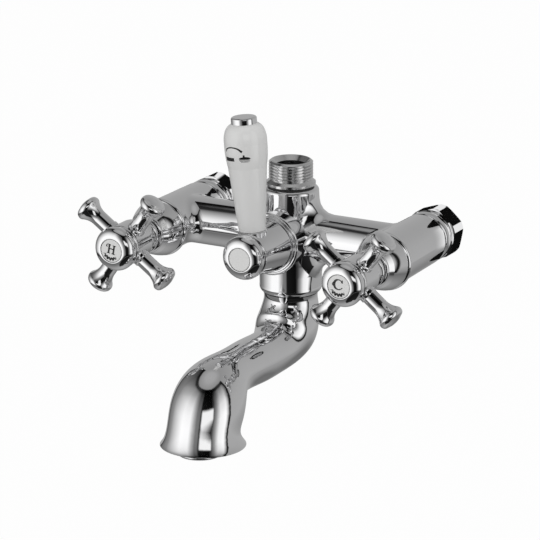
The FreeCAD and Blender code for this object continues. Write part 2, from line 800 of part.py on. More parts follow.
def diverter():
    at = valve_axis(0)
    fixed_rear = s.div_shelf + s.div_seal + s.fit
    moving_rear = fixed_rear + s.div_disc_thick + s.turn_play
    head_rear = moving_rear + s.div_disc_thick + s.turn_play
    head_front = head_rear + 1.7
    cup = s.div_disc + s.swivel_play
    bore = s.stem_radius + s.turn_play
    gland = s.gland_radius + s.turn_play
    flange_front = s.boss_front + s.div_flange_thick
    sleeve = turned("diverter_cartridge_sleeve", [
        (cup, fixed_rear - s.edge_break),
        (cup + s.cup_wall, fixed_rear - s.edge_break),
        (cup + s.cup_wall, s.div_gland_start - 1),
        (s.div_chamber - s.turn_play, s.div_gland_start),
        (s.div_chamber - s.turn_play, s.boss_front),
        (s.div_flange, s.boss_front),
        (s.div_flange, flange_front),
        (s.nose_radius, flange_front),
        (s.nose_radius, s.div_nose_front),
        (bore, s.div_nose_front),
        (bore, s.div_gland_end),
        (gland, s.div_gland_end),
        (gland, s.div_gland_start),
        (cup, s.div_gland_start)], at, AHEAD)
    windows = rod("diverter_cartridge_windows", (s.div_gland_start - head_front) / 2 - s.turn_play,
                  s.div_chamber * 2,
                  (-s.div_chamber, -s.wall_reach - (head_front + s.div_gland_start) / 2, 0), TO_COLD)
    keep("diverter_cartridge_body", cut("diverter_cartridge_body", sleeve, [windows]))
    groove = (s.div_gland_start + s.div_gland_end) / 2
    half = s.oring_section + s.turn_play
    shank = s.screw_shank + s.fit
    keep("diverter_spindle", turned("diverter_spindle", [
        (0, head_rear),
        (s.div_disc, head_rear),
        (s.div_disc, head_front),
        (s.gland_radius - 1, head_front),
        (s.gland_radius - 1, s.div_gland_start),
        (s.gland_radius, s.div_gland_start + 1),
        (s.gland_radius, groove - half),
        (s.gland_radius - half * 2, groove - half),
        (s.gland_radius - half * 2, groove + half),
        (s.gland_radius, groove + half),
        (s.gland_radius, s.div_gland_end - s.swivel_play),
        (s.stem_radius, s.div_gland_end - s.swivel_play),
        (s.stem_radius, s.div_stem_front),
        (shank, s.div_stem_front),
        (shank, s.div_screw_seat - s.screw_length - 1),
        (0, s.div_screw_seat - s.screw_length - 1)], at, AHEAD))
    keep("diverter_spindle_oring", ring("diverter_spindle_oring", s.gland_radius - half,
                                        s.oring_section, (0, -s.wall_reach - groove, 0), AHEAD))
    up_and_down = [(0, s.div_port_offset), (0, -s.div_port_offset)]
    ported_disc("diverter_seat_seal", s.div_disc, s.div_seal, s.div_shelf, 0, up_and_down, s.div_port)
    ported_disc("diverter_fixed_disc", s.div_disc, s.div_disc_thick, fixed_rear, 0, up_and_down, s.div_port)
    diagonal = s.div_port_offset * math.sqrt(0.5)
    ported_disc("diverter_moving_disc", s.div_disc, s.div_disc_thick, moving_rear, 0,
                [(diagonal, diagonal), (diagonal, -diagonal)], s.div_port)

    ring_front = s.boss_front + s.div_bead_width
    wide_bead = s.div_bead_width * 0.7
    thin_bead = s.div_bead_width - wide_bead
    base = s.div_bead_radius - wide_bead / 2
    keep("diverter_bead_ring", turned("diverter_bead_ring", [
        (s.div_flange + s.swivel_play, s.boss_front),
        (base, s.boss_front, HALF),
        (base, s.boss_front + wide_bead),
        (base - thin_bead, s.boss_front + wide_bead, HALF),
        (base - thin_bead, ring_front),
        (s.div_flange + s.swivel_play, ring_front)], at, AHEAD))

    rear = ring_front + s.swivel_play
    wall = s.bonnet_wall
    sleeve_front = s.div_front - s.edge_round
    shell = turned("diverter_hub_shell", [
        (s.div_hub_rear - wall, rear),
        (s.div_hub_rear - s.edge_break, rear),
        (s.div_hub_rear, rear + s.edge_break, 0.03),
        (s.div_hub_front, sleeve_front - s.edge_break),
        (s.div_hub_front, sleeve_front, 0.9),
        (s.div_hub_front, s.div_front - s.turn_play),
        (s.div_hub_front - s.edge_break, s.div_front),
        (s.bezel_thread - s.turn_play, s.div_front),
        (s.bezel_thread - s.turn_play, s.div_front + s.bezel_seat),
        (s.screw_recess, s.div_front + s.bezel_seat),
        (s.screw_recess, s.div_screw_seat),
        (s.screw_shank + s.swivel_play, s.div_screw_seat),
        (s.screw_shank + s.swivel_play, s.div_stem_front + s.turn_play),
        (s.stem_radius + s.fit, s.div_stem_front + s.turn_play),
        (s.stem_radius + s.fit, s.div_hub_web),
        (s.div_hub_front - s.edge_break, s.div_hub_web)], at, AHEAD)
    pad_at = (0, -s.wall_reach - s.lever_ahead, 0)
    lean = Rotation(Vector(0, 1, 0), -s.lever_lean.value)
    pad = turned("diverter_hub_pad", [
        (0, s.stud_root),
        (s.lever_boss, s.stud_root),
        (s.lever_boss, s.lever_seat - s.edge_break),
        (s.lever_boss - s.edge_break, s.lever_seat),
        (0, s.lever_seat)], pad_at, lean)
    spot_face = turned("diverter_lever_spot_face", [
        (0, s.lever_seat),
        (s.lever_base + s.swivel_play, s.lever_seat),
        (s.lever_base + s.swivel_play, s.div_hub_rear + 2),
        (0, s.div_hub_rear + 2)], pad_at, lean)
    stud_hole = turned("diverter_stud_hole", [
        (0, s.stud_root - s.turn_play),
        (s.stud_radius + s.fit, s.stud_root - s.turn_play),
        (s.stud_radius + s.fit, s.lever_seat + 1),
        (0, s.lever_seat + 1)], pad_at, lean)
    outside = fuse("diverter_hub_outside", [shell, pad])
    recess = rod("diverter_hub_recess", s.screw_recess, s.div_front,
                 (0, -s.wall_reach - s.div_screw_seat, 0), AHEAD)
    keep("diverter_hub", cut("diverter_hub", outside, [spot_face, stud_hole, recess]))
    bezel_and_index("diverter", 0, s.div_front)
    cap_screw("diverter_hub_screw", 0, s.div_screw_seat, s.screw_length)
    lever(pad_at, lean)


def lever(at, lean):
    hole = s.stud_radius + s.swivel_play
    porcelain = turned("diverter_lever", [
        (hole, s.lever_seat),
        (s.lever_base - s.edge_break, s.lever_seat, QUARTER),
        (s.lever_base, s.lever_seat + s.edge_break),
        (s.lever_waist, s.lever_waist_height, 0.06),
        (s.lever_belly, s.lever_belly_height, 0.1),
        (s.lever_belly - 0.7, s.lever_belly_height + 6, 0.24),
        (s.lever_top_radius + 0.2, s.lever_top - 0.3, 0.1),
        (s.lever_top_radius - s.edge_break, s.lever_top),
        (hole, s.lever_top)], at, lean)
    cap = turned("diverter_lever_cap", [
        (0, s.lever_top + s.cap_thick * 0.6),
        (s.stud_radius + s.fit, s.lever_top + s.cap_thick * 0.6),
        (s.stud_radius + s.fit, s.lever_top),
        (s.cap_radius, s.lever_top),
        (s.cap_radius, s.lever_top + s.cap_thick * 0.7, QUARTER),
        (s.cap_radius - s.cap_thick * 0.3, s.lever_top + s.cap_thick),
        (0, s.lever_top + s.cap_thick)], at, lean)
    stud = turned("diverter_lever_stud", [
        (0, s.stud_root),
        (s.stud_radius, s.stud_root),
        (s.stud_radius, s.lever_top + s.cap_thick * 0.6 - s.turn_play),
        (0, s.lever_top + s.cap_thick * 0.6 - s.turn_play)], at, lean)
    for piece in (porcelain, cap, stud):
        keep(piece.Label, piece)


# ---- shower outlet ----

def shower_outlet():
    at = valve_axis(0)
    seat = s.neck_height + s.gasket_thick
    collar_top = seat + s.collar_height
    first = s.outlet_top - s.outlet_pitch * (s.outlet_turns + 0.6)
    corners = [
        (s.outlet_bore, s.nipple_seat + 1),
        (s.nipple_bore - s.turn_play, s.nipple_seat + 1),
        (s.nipple_bore - s.turn_play, seat),
        (s.collar_radius - s.edge_break, seat),
        (s.collar_radius, seat + s.edge_break),
        (s.collar_radius, collar_top),
        (s.outlet_relief, collar_top + s.collar_height),
        (s.outlet_relief, first - s.outlet_pitch * 0.3)]
    for k in range(int(s.outlet_turns.value)):
        crest = first + s.outlet_pitch * k
        corners += [
            (s.outlet_thread, crest),
            (s.outlet_thread, crest + s.outlet_pitch * 0.25),
            (s.outlet_root, crest + s.outlet_pitch * 0.52),
            (s.outlet_root, crest + s.outlet_pitch * 0.73)]
    corners += [
        (s.outlet_thread, s.outlet_top - s.outlet_pitch * 0.55),
        (s.outlet_root, s.outlet_top),
        (s.outlet_root - s.edge_break, s.outlet_top),
        (s.outlet_bore, s.outlet_top - s.outlet_pitch * 1.5)]
    keep("shower_outlet", turned("shower_outlet", corners, at))
    keep("outlet_gasket", turned("outlet_gasket", [
        (s.nipple_bore, s.neck_height),
        (s.seat_radius - s.edge_break, s.neck_height),
        (s.seat_radius - s.edge_break, seat),
        (s.nipple_bore, seat)], at))


# ---- spout ----

def grub_height():
    return -s.bell_depth + s.grub_radius * 2.4


def spout_sections():
    """Centre (ahead, height), slope in degrees and radius of each round section of the spout."""
    top = -s.bell_depth - s.swivel_play
    elbow_top = top - s.spout_drop
    level = elbow_top - s.spout_elbow
    run_end = s.spout_elbow + s.spout_run
    bend_end = level - s.spout_bend
    sections = [(0, top, 0, s.spout_neck), (0, elbow_top, 0, s.spout_neck)]
    for angle, girth in ((45, s.spout_elbow_girth), (90, s.spout_run_start)):
        sections.append((s.spout_elbow * (1 - math.cos(math.radians(angle))),
                         elbow_top - s.spout_elbow * math.sin(math.radians(angle)), angle, girth))
    sections.append((s.spout_elbow + s.spout_run / 2, level, 90, s.spout_run_radius))
    sections.append((run_end, level, 90, s.spout_run_start))
    for angle, girth in ((60, s.spout_bend_upper), (30, s.spout_bend_lower), (0, s.spout_bend_end)):
        sections.append((run_end + s.spout_bend * math.cos(math.radians(angle)),
                         bend_end + s.spout_bend * math.sin(math.radians(angle)), angle, girth))
    sections.append((run_end + s.spout_bend, bend_end - s.spout_lip_drop, 0, s.spout_lip))
    return sections


def spout_skin(label, sections):
    circles = []
    for k, (ahead, height, angle, girth) in enumerate(sections, 1):
        circle = doc.addObject("Part::Circle", "%s_section_%d" % (label, k))
        circle.setExpression("Radius", dim(girth).text)
        turn = Rotation(Vector(1, 0, 0), 180 - angle)
        circles.append(place(circle, (0, -s.wall_reach - ahead, height), turn))
    skin = doc.addObject("Part::Loft", label)
    skin.Sections = circles
    skin.Solid = True
    skin.Ruled = False
    return skin


def spout():
    at = valve_axis(0)
    sections = spout_sections()
    mouth_ahead, lip_height = sections[-1][0], sections[-1][1]
    outside = spout_skin("spout_outside", sections)
    bore = [(ahead, height, angle, girth - s.spout_wall)
            for ahead, height, angle, girth in sections[2:-1]]
    bore = [(0, sections[0][1] + 1, 0, s.spigot_bore), (0, sections[1][1], 0, s.spigot_bore)] + bore
    floor = lip_height + s.mouth_depth
    hollow = spout_skin("spout_hollow", bore)
    top = sections[0][1]
    spigot_corners = [
        (s.spigot_bore, top - 2),
        (s.spout_neck - s.spout_wall, top - 2),
        (s.spout_neck - s.spout_wall, top - s.swivel_play),
        (s.spigot_radius, top - s.swivel_play),
        (s.spigot_radius, grub_height() - s.grub_radius),
        (s.spigot_radius - s.groove_depth, grub_height() - s.grub_radius),
        (s.spigot_radius - s.groove_depth, grub_height() + s.grub_radius),
        (s.spigot_radius, grub_height() + s.grub_radius)]
    for height in oring_heights():
        spigot_corners += [
            (s.spigot_radius, height - groove_half()),
            (s.spigot_radius - s.groove_depth, height - groove_half()),
            (s.spigot_radius - s.groove_depth, height + groove_half()),
            (s.spigot_radius, height + groove_half())]
    spigot_corners += [
        (s.spigot_radius, -s.spigot_top - s.edge_break),
        (s.spigot_radius - s.edge_break, -s.spigot_top),
        (s.spigot_bore, -s.spigot_top)]
    spigot = turned("spout_spigot", spigot_corners, at)
    shell = cut("spout_shell", outside, [hollow])
    plate = turned("spout_floor_plate", [
        (0, floor),
        (s.spout_bend_end - s.spout_wall * 0.9, floor),
        (s.spout_bend_end - s.spout_wall * 0.9, floor + s.spout_floor),
        (0, floor + s.spout_floor)], (0, -s.wall_reach - mouth_ahead, 0))
    joined = fuse("spout_joined", [shell, spigot, plate])
    aerator_at = (0, -s.wall_reach - mouth_ahead - s.aerator_forward, lip_height)
    recess = turned("spout_mouth_recess", [
        (0, lip_height - 1),
        (s.spout_lip - s.edge_break * 2, lip_height - 1),
        (s.spout_lip - s.edge_break * 2, lip_height),
        (s.spout_bend_end - s.edge_break * 2, floor),
        (0, floor)], (0, -s.wall_reach - mouth_ahead, 0))
    socket = rod("spout_aerator_socket", s.aerator_radius + s.fit, s.spout_floor + s.mouth_depth + 2,
                 (0, aerator_at[1], lip_height - 1))
    keep("spout_tube", cut("spout_tube", joined, [recess, socket]))
    section = groove_half() - s.turn_play
    orings = [ring("spout_oring_%d" % k, s.spigot_radius + s.turn_play / 2 - section, section,
                   (0, -s.wall_reach, height)) for k, height in enumerate(oring_heights(), 1)]
    keep("spout_orings", bundle("spout_orings", orings))
    aerator(mouth_ahead, lip_height)
    grub_tip = s.spigot_radius - s.groove_depth + s.swivel_play
    grub = rod("spout_grub_blank", s.grub_radius, s.bell_radius - grub_tip - s.swivel_play,
               (0, -s.wall_reach + grub_tip, grub_height()), BACK)
    key = hexagon("spout_grub_key", s.grub_radius, s.grub_radius * 1.5,
                  (0, -s.wall_reach + s.bell_radius - s.grub_radius, grub_height()), BACK)
    keep("spout_grub_screw", cut("spout_grub_screw", grub, [key]))


def groove_half():
    return s.groove_depth / 2


def oring_heights():
    return [-s.spigot_top - s.groove_depth * 3.4, -s.spigot_top - s.groove_depth * 1.4]


def aerator(mouth_ahead, lip_height):
    at = (0, -s.wall_reach - mouth_ahead - s.aerator_forward, 0)
    foot = lip_height - s.aerator_drop
    top = foot + s.aerator_height
    inner = s.aerator_radius - 1.6
    keep("aerator_housing", turned("aerator_housing", [
        (inner - 1.0, foot),
        (s.aerator_radius - s.edge_round / 2, foot, QUARTER),
        (s.aerator_radius, foot + s.edge_round / 2),
        (s.aerator_radius, top),
        (inner, top),
        (inner, foot + 1.2),
        (inner - 1.0, foot + 1.2)], at))
    insert = turned("aerator_insert_blank", [
        (0, foot + 1.2),
        (inner - s.fit, foot + 1.2),
        (inner - s.fit, top - 2),
        (0, top - 2)], at)
    jets = []
    for count, radius in ((1, 0.0), (6, 3.6), (12, 7.2)):
        for k in range(count):
            angle = 2 * math.pi * k / count
            jets.append(rod("aerator_jet_%d_%d" % (count, k), 1.1, s.aerator_height,
                            (radius * math.cos(angle), at[1] + radius * math.sin(angle), foot)))
    keep("aerator_insert", cut("aerator_insert", insert, jets))
    keep("aerator_washer", turned("aerator_washer", [
        (inner - 2.5, top),
        (s.aerator_radius - s.turn_play, top),
        (s.aerator_radius - s.turn_play, top + 1.5),
        (inner - 2.5, top + 1.5)], at))


body_casting()
for side, name, handle_turn in ((-1, "hot", s.hot_handle_turn), (1, "cold", s.cold_handle_turn)):
    inlet(side, name)
    valve_cartridge(side, name)
    bonnet(side, name)
    cross_handle(side, name, handle_turn)
diverter()
shower_outlet()
spout()
doc.recompute()

faults = [thing.Label for thing in doc.Objects if {"Invalid", "Error"} & set(thing.State)]
faults += [label for label, thing in nodes.items()
           if thing.Shape.isNull() or not thing.Shape.isValid() or not thing.Shape.Solids]
if faults:
    raise RuntimeError("not built: " + ", ".join(faults))
os.makedirs("parts", exist_ok=True)
for label, thing in nodes.items():
    thing.Shape.exportStep("parts/%s.step" % label)
print(len(nodes), "sub-parts")
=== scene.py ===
import json
import math

import bpy
from mathutils import Matrix, Vector


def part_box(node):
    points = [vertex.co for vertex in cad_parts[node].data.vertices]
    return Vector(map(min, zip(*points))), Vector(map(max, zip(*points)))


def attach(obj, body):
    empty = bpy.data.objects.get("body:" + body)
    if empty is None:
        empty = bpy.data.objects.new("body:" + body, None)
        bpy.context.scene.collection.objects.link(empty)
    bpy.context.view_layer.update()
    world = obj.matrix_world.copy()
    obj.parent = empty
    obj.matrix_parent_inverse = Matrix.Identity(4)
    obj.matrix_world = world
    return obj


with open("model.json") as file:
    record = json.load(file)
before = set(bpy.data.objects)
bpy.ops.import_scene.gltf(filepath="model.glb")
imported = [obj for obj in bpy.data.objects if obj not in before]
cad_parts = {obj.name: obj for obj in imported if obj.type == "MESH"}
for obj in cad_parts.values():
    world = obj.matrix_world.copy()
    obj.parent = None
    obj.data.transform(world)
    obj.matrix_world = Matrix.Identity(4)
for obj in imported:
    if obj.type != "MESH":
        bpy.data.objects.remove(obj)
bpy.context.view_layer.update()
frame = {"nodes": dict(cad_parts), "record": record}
nodes = frame["nodes"]
print("frame loaded:", len(nodes), "nodes")

millimetre = 0.001
degree = math.pi / 180


# shader helpers

class Wire:
    # one socket of a shader; sums on it add Math nodes
    def __init__(self, graph, socket):
        self.graph = graph
        self.socket = socket

    def maths(self, operation, first, second):
        return self.graph.add("ShaderNodeMath", {"operation": operation}, {0: first, 1: second})

    def __add__(self, other):
        return self.maths("ADD", self, other)

    def __radd__(self, other):
        return self.maths("ADD", other, self)

    def __sub__(self, other):
        return self.maths("SUBTRACT", self, other)

    def __rsub__(self, other):
        return self.maths("SUBTRACT", other, self)

    def __mul__(self, other):
        return self.maths("MULTIPLY", self, other)

    def __rmul__(self, other):
        return self.maths("MULTIPLY", other, self)

    def __truediv__(self, other):
        return self.maths("DIVIDE", self, other)

    def __pow__(self, other):
        return self.maths("POWER", self, other)

    def __and__(self, other):
        return self.maths("MULTIPLY", self, other)

    def __or__(self, other):
        return self.maths("MAXIMUM", self, other)

    def ramp(self, low, high, start=0.0, end=1.0):
        # start below low, end above high, eased between them
        return self.graph.add("ShaderNodeMapRange", {"interpolation_type": "SMOOTHSTEP"},
                              {"Value": self, "From Min": low, "From Max": high, "To Min": start, "To Max": end})

    def within(self, low, high, before, after):
        # 1 between low and high; before and after are how far each edge's fade starts outside and ends inside
        return self.ramp(low - before, low + after) & self.ramp(high - after, high + before, 1.0, 0.0)

    def beside(self, output):
        # another output of the same node
        return Wire(self.graph, self.socket.node.outputs[output])


class Graph:
    # the nodes of one material or world
    def __init__(self, owner):
        owner.use_nodes = True
        self.tree = owner.node_tree
        self.tree.nodes.clear()

    def add(self, kind, settings=None, inputs=None, output=0):
        node = self.tree.nodes.new(kind)
        for name, value in (settings or {}).items():
            if name == "stops":
                ramp = node.color_ramp
                while len(ramp.elements) < len(value):
                    ramp.elements.new(0.5)
                for element, (position, colour) in zip(ramp.elements, value):
                    element.position = position
                    element.color = colour
            else:
                setattr(node, name, value)
        for name, value in (inputs or {}).items():
            if isinstance(value, Wire):
                self.tree.links.new(value.socket, node.inputs[name])
            else:
                node.inputs[name].default_value = value
        return Wire(self, node.outputs[output]) if len(node.outputs) else None

    def maths(self, operation, *values):
        return self.add("ShaderNodeMath", {"operation": operation}, dict(enumerate(values)))

    def place(self, stretch=(1, 1, 1)):
        # Object coordinates in millimetres, stretched for a pattern
        where = self.add("ShaderNodeTexCoord", output="Object")
        return self.add("ShaderNodeMapping", inputs={
            "Vector": where, "Scale": tuple(k / millimetre for k in stretch)})

    def noise(self, where, size, detail=2.0, roughness=0.5):
        return self.add("ShaderNodeTexNoise", inputs={
            "Vector": where, "Scale": 1 / size, "Detail": detail, "Roughness": roughness})

    def tint(self, factor, first, second):
        return self.add("ShaderNodeMix", {"data_type": "RGBA"}, {0: factor, 6: first, 7: second}, output=2)

    def bump(self, height, distance):
        return self.add("ShaderNodeBump", inputs={"Height": height, "Distance": distance})

    def surface(self, **inputs):
        shader = self.add("ShaderNodeBsdfPrincipled", inputs={k.replace("_", " "): v for k, v in inputs.items()})
        self.add("ShaderNodeOutputMaterial", inputs={"Surface": shader})

    def glow(self, strength):
        return self.add("ShaderNodeEmission", inputs={"Color": (1, 1, 1, 1), "Strength": strength})


def grey(value, blue=1.0):
    return (value, value, value * blue, 1.0)


# finishes: sizes of patterns in millimetres, bump distances in metres

finishes = {}


def finish(name):
    finishes[name] = bpy.data.materials.new(name)
    return Graph(finishes[name])


chrome = {"colours": (grey(0.86, 1.01), grey(0.90, 1.005)), "cloud": 14.0, "gloss": 0.022, "cloudGloss": 0.03,
          "wipe": {"stretch": (1, 1, 0.15), "size": 1.6, "detail": 3.0}, "wipeGloss": 0.015,
          "wave": 9.0, "waveHeight": 0.000012}
porcelain = {"colours": ((0.80, 0.80, 0.79, 1), (0.84, 0.84, 0.835, 1)), "cloud": 22.0, "gloss": 0.16,
             "grain": 2.5, "grainGloss": 0.06, "coat": 0.5, "coatGloss": 0.12, "wave": 5.0, "waveHeight": 0.00003}
brass = {"colours": ((0.66, 0.50, 0.25, 1), (0.76, 0.61, 0.34, 1)), "cloud": 6.0,
         "fine": {"stretch": (0.3, 7, 0.3), "size": 0.8, "detail": 2.0}, "gloss": (0.22, 0.14), "bump": 0.00001}
platedNose = {"colour": grey(0.82), "plated": (-85, -84), "polish": 0.12, "gloss": (0.22, 0.1), "bump": 0.000008}
grained = {
    "threadedChrome": {"colours": (grey(0.72), grey(0.82)), "cloud": 3.0, "metallic": 1.0,
                       "fine": {"stretch": (0.2, 0.2, 6), "size": 0.5, "detail": 2.0},
                       "gloss": (0.10, 0.12), "bump": 0.00001},
    "blackEnamel": {"colours": (grey(0.006), grey(0.014)), "fine": {"size": 0.4, "detail": 2.0},
                    "gloss": (0.22, 0.1), "bump": 0.000005},
    "turnedBrass": {**brass, "metallic": 1.0},
    "plainSteel": {"colours": (grey(0.52), grey(0.62)), "metallic": 1.0,
                   "fine": {"stretch": (0.5, 5, 0.5), "size": 0.7, "detail": 2.0},
                   "gloss": (0.28, 0.12), "bump": 0.000008},
    "lappedCeramic": {"colours": ((0.78, 0.76, 0.70, 1), (0.86, 0.84, 0.79, 1)),
                      "fine": {"size": 0.6, "detail": 3.0}, "gloss": (0.25, 0.1), "bump": 0.000004},
    "blackRubber": {"colours": (grey(0.018), grey(0.04)),
                    "fine": {"size": 0.5, "detail": 4.0, "roughness": 0.7}, "gloss": (0.55, 0.2), "bump": 0.00002},
    "paleAcetal": {"colours": ((0.60, 0.61, 0.63, 1), (0.68, 0.69, 0.71, 1)),
                   "fine": {"size": 1.5, "detail": 3.0}, "gloss": (0.38, 0.12), "bump": 0.00001}}


def fineNoise(g, fine):
    return g.noise(g.place(fine.get("stretch", (1, 1, 1))), fine["size"], fine["detail"], fine.get("roughness", 0.5))


def chromePlate():
    g = finish("chromePlate")
    where = g.place()
    cloud = g.noise(where, chrome["cloud"])
    wipe = fineNoise(g, chrome["wipe"])
    g.surface(Base_Color=g.tint(cloud, *chrome["colours"]), Metallic=1.0,
              Roughness=chrome["gloss"] + cloud * chrome["cloudGloss"] + wipe * chrome["wipeGloss"],
              Normal=g.bump(g.noise(where, chrome["wave"], 1.0), chrome["waveHeight"]))


def whitePorcelain():
    g = finish("whitePorcelain")
    where = g.place()
    grain = g.noise(where, porcelain["grain"], 3.0)
    g.surface(Base_Color=g.tint(g.noise(where, porcelain["cloud"]), *porcelain["colours"]),
              Roughness=porcelain["gloss"] + grain * porcelain["grainGloss"], IOR=1.5,
              Coat_Weight=porcelain["coat"], Coat_Roughness=porcelain["coatGloss"],
              Normal=g.bump(g.noise(where, porcelain["wave"], 1.0), porcelain["waveHeight"]))


def platedNoseBrass():
    # turned brass, with chrome on the nose that shows in front of the bonnet
    g = finish("platedNoseBrass")
    rings = fineNoise(g, brass["fine"])
    forward = g.add("ShaderNodeSeparateXYZ", inputs={0: g.place()}, output="Y")
    nose = forward.ramp(*platedNose["plated"], 1.0, 0.0)
    turned = g.tint(g.noise(g.place(), brass["cloud"]), *brass["colours"])
    base, spread = platedNose["gloss"]
    g.surface(Base_Color=g.tint(nose, turned, platedNose["colour"]), Metallic=1.0,
              Roughness=base - nose * platedNose["polish"] + rings * spread,
              Normal=g.bump(rings, platedNose["bump"]))


def grainedFinish(name, settings):
    # a fine pattern moves the gloss and the bump, and it or a broader cloud shades the colour
    g = finish(name)
    grain = fineNoise(g, settings["fine"])
    shade = g.noise(g.place(), settings["cloud"]) if "cloud" in settings else grain
    base, spread = settings["gloss"]
    g.surface(Base_Color=g.tint(shade, *settings["colours"]), Metallic=settings.get("metallic", 0.0),
              Roughness=base + grain * spread, Normal=g.bump(grain, settings["bump"]))


chromePlate()
whitePorcelain()
platedNoseBrass()
for finishName, finishSettings in grained.items():
    grainedFinish(finishName, finishSettings)

finishOfSlot = {"chrome": "chromePlate", "porcelain": "whitePorcelain", "brass": "turnedBrass",
                "ceramic": "lappedCeramic", "rubber": "blackRubber", "steel": "plainSteel",
                "aerator_plastic": "paleAcetal"}
finishOfNode = {"shower_outlet": "threadedChrome", "hot_cartridge_body": "platedNoseBrass",
                "cold_cartridge_body": "platedNoseBrass"}
for part in frame["record"]["subparts"]:
    cadNode = nodes[part["node"]]
    chosen = finishes[finishOfNode.get(part["node"], finishOfSlot[part["material_slot"]])]
    for holder in cadNode.material_slots:
        holder.material = chosen
    if not cadNode.material_slots:
        cadNode.data.materials.append(chosen)
print("finishes made:", len(finishes))


# marks on the porcelain: strokes are points and widths in millimetres

ink = {"finish": "blackEnamel", "lift": 0.00001, "thickness": 0.00006, "across": 2, "along": 6, "shortAlong": 3}
hotMark = {"plate": "hot_index", "body": "hot_handle", "turn": 9.6, "raise": 1.0, "strokes": [
    ([(-1.6, -2.7), (-1.6, 2.7)], (1.15, 1.15)), ([(1.6, -2.7), (1.6, 2.7)], (1.15, 1.15)),
    ([(-1.5, 0.1), (0.0, 0.3), (1.5, 0.1)], (0.55, 0.7, 0.55)),
    ([(0.5, 2.55), (2.8, 2.55)], (0.5, 0.5)), ([(0.5, -2.55), (2.8, -2.55)], (0.5, 0.5)),
    ([(-0.5, -2.55), (-2.8, -2.55)], (0.5, 0.5)),
    ([(-0.6, 2.55), (-2.1, 2.75), (-3.3, 2.3), (-3.5, 1.4), (-2.8, 1.1)], (0.5, 0.5, 0.5, 0.6, 0.9))]}
coldMark = {"plate": "cold_index", "body": "cold_handle", "turn": 4.0, "raise": 1.3, "strokes": [
    ([(1.9, 1.7), (1.1, 2.6), (-0.3, 2.9), (-1.9, 2.3), (-2.8, 0.8), (-2.8, -0.8), (-1.9, -2.3), (-0.3, -2.9),
      (1.2, -2.6), (2.4, -1.5)], (0.7, 0.6, 0.6, 1.2, 1.55, 1.55, 1.2, 0.65, 0.6, 0.5)),
    ([(2.1, 3.0), (2.1, 1.2)], (0.6, 1.0)),
    ([(-2.7, 0.9), (-3.8, 0.5), (-4.0, -0.6), (-3.3, -0.9)], (0.4, 0.45, 0.5, 0.8))]}
# a wavy ribbon round the lower edge of both plates, its bearings in degrees
flourish = {"radius": 4.95, "wave": 0.65, "start": -151, "step": 10.5, "turns": 12,
            "widths": (0.25, 0.95, 1.1, 0.95, 1.1, 0.95, 0.25)}
# a bath filler and a hand shower with rows of drops
leverMark = {"node": "diverter_lever", "body": "diverter", "top": 65.6, "radius": 12.4, "lean": -4.85,
             "ahead": 93.9, "castFrom": 20, "strokes": [
    ([(-7.8, -2.8), (-7.0, -1.3), (-4.4, -0.2), (-1.5, 0.0), (1.4, -0.7), (3.9, -2.5)],
     (0.65, 0.85, 0.75, 0.75, 0.95, 1.35)),
    ([(-8.6, -7.2), (-5.0, -7.2), (-1.5, -7.2)], (2.4, 2.2, 2.1)),
    ([(4.7, -4.3), (4.7, -5.8)], (1.0, 1.0)),
    ([(1.6, -6.6), (2.6, -6.4), (5.1, -6.2), (7.6, -6.4), (8.6, -6.6)], (0.1, 1.2, 1.7, 1.2, 0.1))]}
drops = {"rows": ((-7.35, 9), (-7.95, 8), (-8.5, 6)), "middle": 5.1, "apart": 0.74, "half": 0.2, "width": 0.42}
for height, count in drops["rows"]:
    for k in range(count):
        middle = drops["middle"] + drops["apart"] * (k - (count - 1) / 2)
        leverMark["strokes"].append(([(middle - drops["half"], height), (middle + drops["half"], height)],
                                     (drops["width"], drops["width"])))


def alongCurve(points, t):
    # a smooth way through the points, and the direction there
    spans = len(points) - 1
    k = min(int(t * spans), spans - 1)
    u = t * spans - k
    p = [Vector(points[min(max(k + j, 0), spans)]) for j in (-1, 0, 1, 2)]
    if k == 0:
        p[0] = 2 * p[1] - p[2]
    if k == spans - 1:
        p[3] = 2 * p[2] - p[1]
    slope, curl, twist = p[2] - p[0], 2 * p[0] - 5 * p[1] + 4 * p[2] - p[3], 3 * p[1] - p[0] - 3 * p[2] + p[3]
    spot = 0.5 * (2 * p[1] + slope * u + curl * u ** 2 + twist * u ** 3)
    way = 0.5 * (slope + 2 * curl * u + 3 * twist * u ** 2)
    return spot, way.normalized()


def applied(piece, kind, **settings):
    bpy.ops.object.select_all(action="DESELECT")
    piece.select_set(True)
    bpy.context.view_layer.objects.active = piece
    modifier = piece.modifiers.new(kind.title(), kind)
    for key, value in settings.items():
        setattr(modifier, key, value)
    bpy.ops.object.modifier_apply(modifier=modifier.name)


def inkedMark(name, strokes, placed, body):
    # ribbons of ink, each a grid pulled along its own curve, joined and thickened
    ribbons = []
    for path, widths in strokes:
        bpy.ops.object.select_all(action="DESELECT")
        bpy.ops.mesh.primitive_grid_add(
            x_subdivisions=ink["along"] * (len(path) - 1) if len(path) > 2 else ink["shortAlong"],
            y_subdivisions=ink["across"], size=1)
        ribbon = bpy.context.object
        for vertex in ribbon.data.vertices:
            t = min(max(vertex.co.x + 0.5, 0.0), 1.0)
            spot, way = alongCurve(path, t)
            span = t * (len(widths) - 1)
            k = min(int(span), len(widths) - 2)
            wide = widths[k] + (widths[k + 1] - widths[k]) * (span - k)
            spot = spot + Vector((-way.y, way.x)) * wide * vertex.co.y
            vertex.co = placed(spot.x, spot.y)
        ribbons.append(ribbon)
    bpy.ops.object.select_all(action="DESELECT")
    for ribbon in ribbons:
        ribbon.select_set(True)
    bpy.context.view_layer.objects.active = ribbons[0]
    bpy.ops.object.join()
    mark = bpy.context.object
    mark.name = name
    applied(mark, "SOLIDIFY", thickness=ink["thickness"], offset=0.0)
    mark.data.materials.append(finishes[ink["finish"]])
    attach(mark, body)
    return mark


